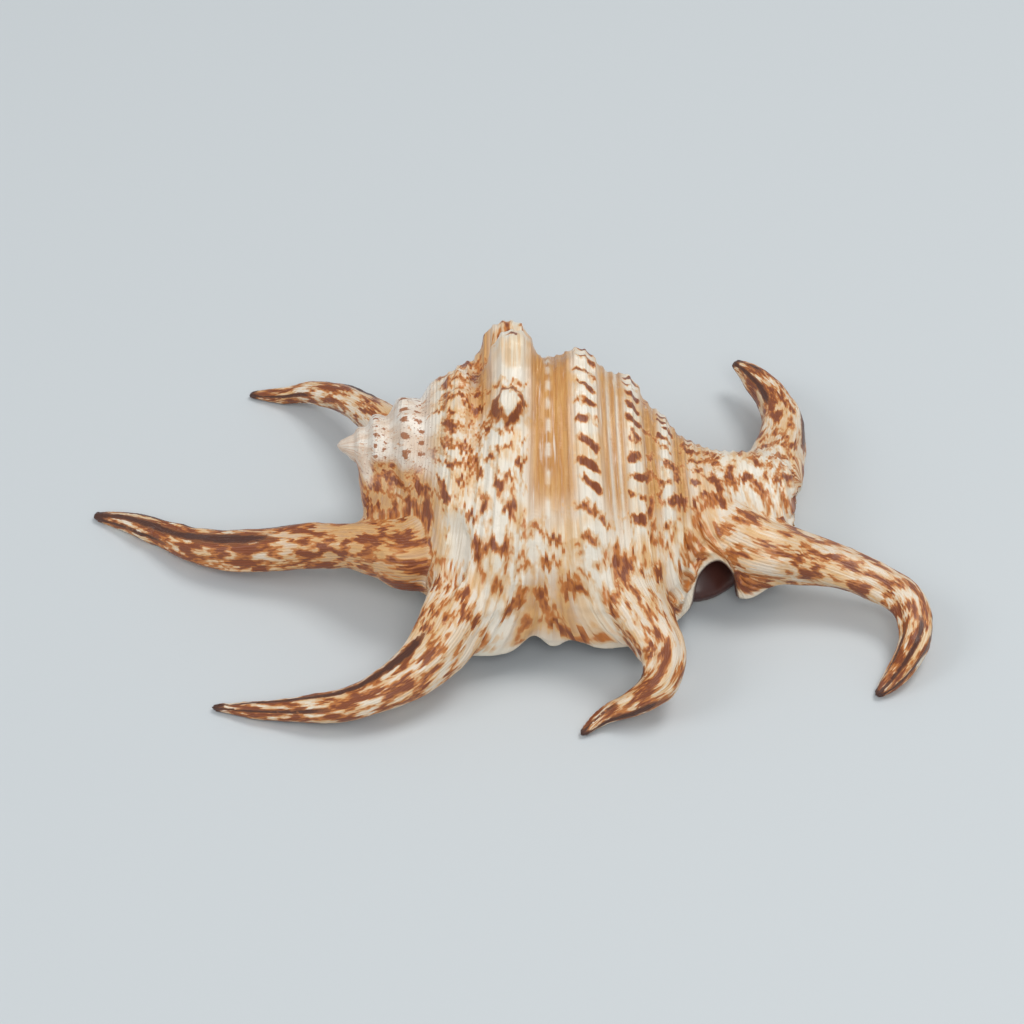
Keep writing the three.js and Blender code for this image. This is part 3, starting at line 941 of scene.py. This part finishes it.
# %% Grain and masks
ARC = 0.42  # millimetres along the cords for each degree, on the widest part
CANAL_ARC = 0.15  # and over the canal, which is slimmer and has larger blotches
ARC_ANGLE = 40  # the two agree at this angle
FINGER_FINENESS = (1.8, 0.7, 1.4)  # on the fingers the flecks are narrower and longer
FINGER_ANGLE = 96  # the fingers' grain goes on from the body's at about this angle
FINGER_SPREAD = 9.0  # how far it runs to each side of a finger's own cord
SPREAD_RADIUS = 6  # on a finger of this radius
FINGER_LAYER = 9.0  # the fingers' noise lies in layers this far apart
LAYER_SWING = 2.0  # and moves this far in its layer round a finger
STRIPES = [
    # for each finger: roll and half width in degrees, and the shares where it starts and ends
    [(-48, 17, 0.35, 1), (62, 13, 0.62, 1), (150, 20, 0.4, 1)],
    [(12, 20, 0.46, 1), (-45, 14, 0.38, 0.9), (70, 12, 0.72, 1), (-150, 20, 0.5, 1)],
    [(-22, 15, 0.3, 1), (48, 10, 0.62, 1), (-75, 10, 0.35, 0.7), (160, 20, 0.5, 1)],
    [(84, 20, 0.55, 1), (8, 11, 0.72, 1), (-60, 13, 0.45, 0.75), (170, 20, 0.6, 1)],
    [(72, 15, 0.52, 1), (16, 13, 0.58, 1), (-48, 12, 0.62, 0.97), (-105, 14, 0.45, 1)],
    [(-72, 20, 0.3, 1), (38, 13, 0.55, 1), (-15, 10, 0.75, 1), (120, 18, 0.5, 1)],
]
TAN_STRIPS = [
    # cord, half width, share
    [6.5, 1.6, 1.0],
    [10.6, 1.6, 1.0],
    [24, 3, 0.8],
    [33, 2, 0.5],
]
RUST_LINES = [
    # x, half width, angle, half spread, amount
    [-1.0, 3.5, -41, 4, 1.8],
    [0.0, 2.8, -17, 2.4, 3.0],
    [0.5, 4.0, 4, 3, 0.9],
]
DASH_SPACING = 4.6  # along the keels
BREAK_SPACING = 5.5  # along the broken pale line
EYE_X, EYE_ANGLE = KNOBS[4][:2]  # the small round knob has a brown ring round it
EYE_HALF_WIDTH, EYE_HALF_SPREAD = 3.4, 8.5


def store_vector(name, vectors):
    layer = body.data.attributes.new(name, "FLOAT_VECTOR", "POINT")
    layer.data.foreach_set("vector", vectors.astype(np.float32).ravel())


x = points[:, 0]
down = ARC_ANGLE * ARC + (angle - ARC_ANGLE) * mix(ARC, CANAL_ARC, ramp(x, 30, 56))
grain = np.stack([cord, down, 0 * cord], axis=-1)
store_vector("grain", grain)
turn = roll * DEGREE
spread = FINGER_SPREAD * np.sin(turn / 2) * np.sqrt(places["finger_radius"] / SPREAD_RADIUS)
store_vector("finger_grain", np.array(FINGER_FINENESS) * np.stack([
    places["finger_cord"] + spread,
    FINGER_ANGLE * ARC + run,
    FINGER_LAYER * places["finger"] + LAYER_SWING * np.cos(turn / 2),
], axis=-1))

off_finger = 1 - on_finger
whole_tip = np.maximum(ramp(x, -32.5, -34.5) * ramp(angle, 106, 92), ramp(x, -37.2, -38.2))
spire_part = np.maximum(ramp(x, -17.0, -20.5) * ramp(angle, 74, 58), whole_tip) * off_finger
finger_root = ramp(x, -14, -20) * ramp(angle, 56, 74) * off_finger * (1 - whole_tip)
keel = sum(np.exp(-(np.abs((cord - place) / half) ** 4)) for place, _, half, _, _ in KEELS[1:5])
keel *= ramp(x, 48, 40)

from_tip = points - APEX
tip_distance = from_tip @ SPIRE_AXIS
tip_angle = np.degrees(np.arctan2(from_tip @ SPIRE_SIDE, from_tip @ SPIRE_UP)) % 360
phase = turn_phase(tip_distance, tip_angle)
across = phase - np.floor(phase)
wound = tip_angle + 360 * np.floor(phase)
spots = hill(across, 0.42, 0.14) * ridge(wound, 360 / KNUCKLES / 2, 1.5)
spots += 0.8 * hill(across, 0.78, 0.13) * ridge(wound, 360 / KNUCKLES / 3, 1.5)
spots *= spire_part * ramp(tip_distance, 4, 9)

over_top = ramp(angle, 80, 54) * ramp(x, 2, 6) * ramp(x, 50, 40)
strips = sum(share * hill(cord, place, half) for place, half, share in TAN_STRIPS)
pale_lines = hill(cord, 22.4, 0.42) + hill(cord, 24.5, 0.42)
pale_lines += hill(cord, 8.4, 0.5) * ramp(np.cos(down / BREAK_SPACING * 2 * math.pi), -0.5, 0.3)
tan = over_top * (1 - keel) * (1 - 0.9 * pale_lines)
tan += 0.9 * strips * ramp(to_lip, -32, -18) * (1 - 0.8 * ramp(to_lip, -7, -2))
# Tan in the groove left of the knobs: partly the shell's tan, partly painted shade there.
groove = hill(x, -6.8, 2.6) * ramp(angle, 32, 6)
tan += 0.9 * groove + 0.85 * finger_root + 0.3 * spire_part * hill(x, -19, 2)
first_finger = places["finger"] == 1
finger_tan = 0.25 + 0.55 * first_finger * ramp(places["share"], 0.62, 0.4)
pocket = pocket_mask(points)
# Beside the spire: a little tan and more rust, partly real marks, partly painted shade.
beside_spire_flecks_and_shade = ramp(x, -19, -15) * ramp(x, -4, -9) * ramp(angle, 60, 40)
tan += 0.15 * beside_spire_flecks_and_shade
tan = np.clip(tan, 0, 1) * off_finger + finger_tan * on_finger * ramp(places["share"], 1.0, 0.3)
tan *= 1 - 0.9 * pocket

dashes = np.cos(down / DASH_SPACING * 2 * math.pi + 2.8 * bumps(grain * (0.2, 0.12, 1), 1.0))
dashes = (dashes + 0.2) * (0.9 + 0.6 * bumps(grain * (0.4, 0.3, 1), 1.0))
rust = 0.95 * keel * dashes * ramp(angle, 84, 66) - 0.15
rust += (1 - keel) * (0.20 * ramp(angle, 20, 50) + 0.10 * ramp(to_lip, -45, -28))
rust -= 1.1 * over_top * (1 - keel) * ramp(x, 32, 24)
rust += 0.28 * ramp(x, 34, 46) + 0.35 * finger_root - 0.25 * spire_part
# More rust beside the spire, partly painted shade of the groove there.
rust += 0.40 * beside_spire_flecks_and_shade
rust -= 0.9 * ramp(to_lip, -5, -1.5)
rust -= 1.5 * hill(x, 0.2, 5.0) * ramp(np.abs(angle + 14), 22, 14)
for line_x, half, line_angle, half_spread, amount in RUST_LINES:
    rust += amount * hill(x, line_x, half) * hill(angle, line_angle, half_spread)
eye = np.hypot((x - EYE_X) / EYE_HALF_WIDTH, (angle - EYE_ANGLE) / EYE_HALF_SPREAD)
rust += 1.25 * hill(eye, 0.95, 0.28) - 0.8 * hill(eye, 0, 0.5)
rust = mix(rust, 0.28 + 0.25 * ramp(places["share"], 0.3, 0.8) + 0.2 * first_finger, on_finger)
rust -= 0.9 * pocket
rust *= 1 - 0.6 * ramp(angle, -120, -150)

stripe = np.zeros_like(x)
for number, rows in enumerate(STRIPES):
    for at_roll, half, first, last in rows:
        away = np.abs(np.mod(roll - at_roll + 180, 360) - 180)
        line = hill(away, 0, half) * ramp(places["share"], first, first + 0.12)
        stripe += line * ramp(places["share"], last + 0.05, last) * (places["finger"] == number)
stripe *= on_finger
tip = on_finger * ramp(places["share"], 0.93, 0.995)
for name, values in {
    "on_finger": on_finger,
    "tan": tan,
    "rust": rust,
    "stripe": np.clip(stripe + tip, 0, 1),
    "inner": inner,
    "spire": spire_part,
    "spots": spots,
    "rim": 0.8 * ramp(to_lip, -4, -1) * off_finger * (1 - inner),
    "pocket": pocket,
}.items():
    layer = body.data.attributes.new(name, "FLOAT", "POINT")
    layer.data.foreach_set("value", values.astype(np.float32))
print("tan on", round(float((tan > 0.5).mean()) * 100), "percent of the points")

# %% [markdown]
# ## Into the frame
# The tables' zero lies on the shell's axis, and the part's zero is under the middle of its
# outline. So the points are shifted once, and turned from millimetres into metres.

# %% Shift and scale
TABLES_TO_PART = np.array([2.429, -5.679, 0.0])
set_points(body, (points + TABLES_TO_PART) / 1000)
body.name = "shell_skin"
for face in body.data.polygons:
    face.use_smooth = True

# %% [markdown]
# ## The material
# One material paints the whole shell. It reads the grain and the masks, and mixes colours
# from the palest up: cream, then tan, then rust flecks, then dark stripes, and the brown of
# the inside, made darker as painted shade. Fine strands are shifted against each other at
# random, which gives the flecks the saw-toothed edges of the real ones.

# %% Helpers for nodes
def linear(red, green, blue):
    """A colour given as it looks on a screen, from 0 to 255, in the renderer's units."""
    return tuple((c / 255) ** 2.2 for c in (red, green, blue)) + (1.0,)


def add_node(tree, kind, inputs=(), **settings):
    """A node with its settings and inputs set. An input is a value or another node's output."""
    node = tree.nodes.new(kind)
    for name, value in settings.items():
        setattr(node, name, value)
    for name, value in dict(inputs).items():  # a name or a number picks the input
        if isinstance(value, bpy.types.NodeSocket):
            tree.links.new(value, node.inputs[name])
        else:
            node.inputs[name].default_value = value
    return node


def sums(tree, operation, *values, clamp=False):
    """A Math node's result."""
    node = add_node(tree, "ShaderNodeMath", enumerate(values), operation=operation, use_clamp=clamp)
    return node.outputs[0]


def step_up(tree, value, low, high):
    """A smooth climb from 0 at low to 1 at high."""
    node = add_node(
        tree, "ShaderNodeMapRange", {"Value": value, "From Min": low, "From Max": high},
        interpolation_type="SMOOTHSTEP",
    )
    return node.outputs["Result"]


def blend(tree, share, first, second):
    """Two colours mixed: a Mix node takes them at sockets 6 and 7 and gives them at 2."""
    node = add_node(tree, "ShaderNodeMix", {0: share, 6: first, 7: second}, data_type="RGBA")
    return node.outputs[2]


def attribute(tree, name, output="Fac"):
    return add_node(tree, "ShaderNodeAttribute", attribute_name=name).outputs[output]


def stretched(tree, vector, scale):
    """The vector times a scale on each axis."""
    node = add_node(tree, "ShaderNodeVectorMath", {0: vector, 1: scale}, operation="MULTIPLY")
    return node.outputs[0]


def noise(tree, vector, scale=1.0, detail=3.0, roughness=0.55):
    inputs = {"Vector": vector, "Scale": scale, "Detail": detail, "Roughness": roughness}
    return add_node(tree, "ShaderNodeTexNoise", inputs).outputs[0]


# %% A group for the mottled grain
MOTTLE = ("Patches", "Flecks", "Streaks", "Clouds", "Specks", "Threads", "Growth", "Cords")
group = bpy.data.node_groups.new("mottle", "ShaderNodeTree")
group.interface.new_socket("Grain", in_out="INPUT", socket_type="NodeSocketVector")
for name in MOTTLE:
    group.interface.new_socket(name, in_out="OUTPUT", socket_type="NodeSocketFloat")
grain_in = group.nodes.new("NodeGroupInput").outputs[0]
group_out = group.nodes.new("NodeGroupOutput")

STRAND_WIDTH = 0.6
STRAND_JOG = 1.5
FINE_CORD_SPACING = 0.85
parts = add_node(group, "ShaderNodeSeparateXYZ", {0: grain_in}).outputs
strand = sums(group, "FLOOR", sums(group, "DIVIDE", parts[0], STRAND_WIDTH))
jog = add_node(group, "ShaderNodeTexWhiteNoise", {"W": strand}, noise_dimensions="1D")
shifted = sums(group, "MULTIPLY_ADD", jog.outputs["Value"], STRAND_JOG, parts[1])
strands = add_node(group, "ShaderNodeCombineXYZ", {0: parts[0], 1: shifted, 2: parts[2]})
strands = strands.outputs[0]
for name, vector, scale, detail in (
    ("Patches", strands, (0.30, 0.28, 1.0), 2.0),
    ("Flecks", strands, (0.55, 0.55, 1.0), 2.5),
    ("Streaks", grain_in, (1.3, 0.09, 1.0), 2.0),
    ("Clouds", grain_in, (0.12, 0.10, 1.0), 2.0),
    ("Specks", grain_in, (1.6, 1.4, 1.0), 3.0),
    ("Threads", grain_in, (2.4, 0.14, 1.0), 3.0),
    ("Growth", grain_in, (0.25, 1.6, 1.0), 3.0),
):
    value = noise(group, stretched(group, vector, scale), detail=detail)
    group.links.new(value, group_out.inputs[name])
fine_cords = sums(group, "SINE", sums(group, "MULTIPLY", parts[0], 2 * math.pi / FINE_CORD_SPACING))
group.links.new(fine_cords, group_out.inputs["Cords"])
print("mottle group:", len(group.nodes), "nodes")

# %% [markdown]
# ## Two grains, one surface
# The body has its own grain and the fingers have theirs. Mixing the two vectors would smear
# the pattern where they meet, so the group is used twice and its results are mixed instead.

# %% Shell material
material = bpy.data.materials.new("mottled_shell")
material.use_nodes = True
tree = material.node_tree
shader = tree.nodes["Principled BSDF"]

on_body, on_fingers = (
    add_node(tree, "ShaderNodeGroup", node_tree=group) for _ in range(2)
)
tree.links.new(attribute(tree, "grain", "Vector"), on_body.inputs["Grain"])
tree.links.new(attribute(tree, "finger_grain", "Vector"), on_fingers.inputs["Grain"])
over = step_up(tree, attribute(tree, "on_finger"), 0.25, 0.75)
mottled = {
    name: add_node(
        tree, "ShaderNodeMix", {0: over, 2: on_body.outputs[name], 3: on_fingers.outputs[name]}
    ).outputs[0]
    for name in MOTTLE
}
patches, flecks, streaks = mottled["Patches"], mottled["Flecks"], mottled["Streaks"]
clouds, specks = mottled["Clouds"], mottled["Specks"]
fleck_swing = sums(tree, "SUBTRACT", flecks, 0.5)

# %% Rust flecks
amount = sums(tree, "MULTIPLY_ADD", attribute(tree, "rust"), 0.20, patches)
amount = sums(tree, "MULTIPLY_ADD", fleck_swing, 0.30, amount)
halo_share = sums(tree, "MULTIPLY", step_up(tree, amount, 0.45, 0.55), 0.70)
rust_share = step_up(tree, amount, 0.545, 0.60)
deep_share = step_up(tree, amount, 0.595, 0.69)

# %% Colours from the palest up
cream = blend(tree, streaks, linear(248, 242, 230), linear(233, 219, 197))
cream = blend(tree, step_up(tree, clouds, 0.45, 0.7), cream, linear(243, 224, 194))
pocket_share = attribute(tree, "pocket")
cream = blend(tree, pocket_share, cream, linear(234, 225, 210))
wash = step_up(tree, streaks, 0.62, 0.46)
wash = sums(tree, "MULTIPLY", step_up(tree, clouds, 0.50, 0.62), wash)
wash = sums(tree, "MULTIPLY", wash, sums(tree, "SUBTRACT", 0.6, pocket_share), clamp=True)
cream = blend(tree, wash, cream, linear(228, 180, 122))
streaky = step_up(tree, streaks, 0.3, 0.7)
tan_colour = blend(tree, streaky, linear(213, 160, 94), linear(190, 127, 64))
tan_share = sums(tree, "MULTIPLY", attribute(tree, "tan"), step_up(tree, streaks, 0.80, 0.56))
colour = blend(tree, tan_share, cream, tan_colour)
colour = blend(tree, halo_share, colour, linear(224, 174, 112))
rust_colour = blend(tree, deep_share, linear(196, 120, 58), linear(134, 70, 36))
colour = blend(tree, rust_share, colour, rust_colour)

# %% Spire, stripes and inside
cloudy = step_up(tree, clouds, 0.4, 0.65)
spire_colour = blend(tree, cloudy, linear(240, 230, 217), linear(223, 200, 178))
spotted = sums(tree, "MULTIPLY_ADD", fleck_swing, 1.6, attribute(tree, "spots"))
for value, low, high, fleck_colour in (
    (flecks, 0.56, 0.70, linear(208, 160, 122)),
    (spotted, 0.42, 0.62, linear(164, 106, 70)),
    (specks, 0.60, 0.68, linear(150, 116, 98)),
):
    spire_colour = blend(tree, step_up(tree, value, low, high), spire_colour, fleck_colour)
colour = blend(tree, attribute(tree, "spire"), colour, spire_colour)
stripe_value = sums(tree, "MULTIPLY_ADD", fleck_swing, 0.9, attribute(tree, "stripe"))
stripe_middle = step_up(tree, stripe_value, 0.5, 0.8)
stripe_colour = blend(tree, stripe_middle, linear(138, 82, 44), linear(82, 46, 32))
colour = blend(tree, step_up(tree, stripe_value, 0.30, 0.50), colour, stripe_colour)
colour = blend(tree, attribute(tree, "rim"), colour, linear(240, 228, 206))
# The inside's brown, made far darker as painted shade under the lip and in the notch.
inside_brown_and_shade = blend(tree, clouds, linear(92, 52, 42), linear(62, 36, 34))
colour = blend(tree, attribute(tree, "inner"), colour, inside_brown_and_shade)
tree.links.new(colour, shader.inputs["Base Color"])

# %% [markdown]
# ## Gloss
# A worn shell is half glossy: its glaze shines and the specks on it are dull. So the
# roughness follows the specks, under a thin clear coat. Threads too fine for the mesh are
# left to a bump.

# %% Gloss and fine relief
gloss = sums(tree, "MULTIPLY_ADD", specks, 0.22, 0.24)
tree.links.new(gloss, shader.inputs["Roughness"])
shader.inputs["Coat Weight"].default_value = 0.15
shader.inputs["Coat Roughness"].default_value = 0.12
relief = sums(tree, "MULTIPLY_ADD", mottled["Growth"], 0.5, mottled["Threads"])
relief = sums(tree, "MULTIPLY_ADD", mottled["Cords"], 0.2, relief)
relief = sums(tree, "MULTIPLY", relief, sums(tree, "SUBTRACT", 1.0, attribute(tree, "inner")))
bump = add_node(tree, "ShaderNodeBump", {"Height": relief, "Strength": 0.5, "Distance": 0.0005})
tree.links.new(bump.outputs[0], shader.inputs["Normal"])
body.data.materials.clear()
body.data.materials.append(material)
for face in body.data.polygons:
    face.material_index = 0

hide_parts("shell")
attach(body, "root")

# %% [markdown]
# ## The table
# The table only carries the shell and catches its soft shadow. It is one flat grid, far wider
# than the view, in a pale matt paint. It is staged, because it isn't part of the shell.

# %% Table
TABLE_REACH = 3.0  # metres from the middle to each side

floor_mesh = bpy.data.meshes.new("table_top")
bm = bmesh.new()
bmesh.ops.create_grid(bm, x_segments=4, y_segments=4, size=TABLE_REACH)
bm.to_mesh(floor_mesh)
bm.free()
floor = bpy.data.objects.new("table_top", floor_mesh)
bpy.context.collection.objects.link(floor)
floor_material = bpy.data.materials.new("table_paint")
floor_material.use_nodes = True
paint = floor_material.node_tree.nodes["Principled BSDF"]
paint.inputs["Base Color"].default_value = (0.60, 0.64, 0.665, 1.0)
paint.inputs["Roughness"].default_value = 0.55
floor.data.materials.append(floor_material)
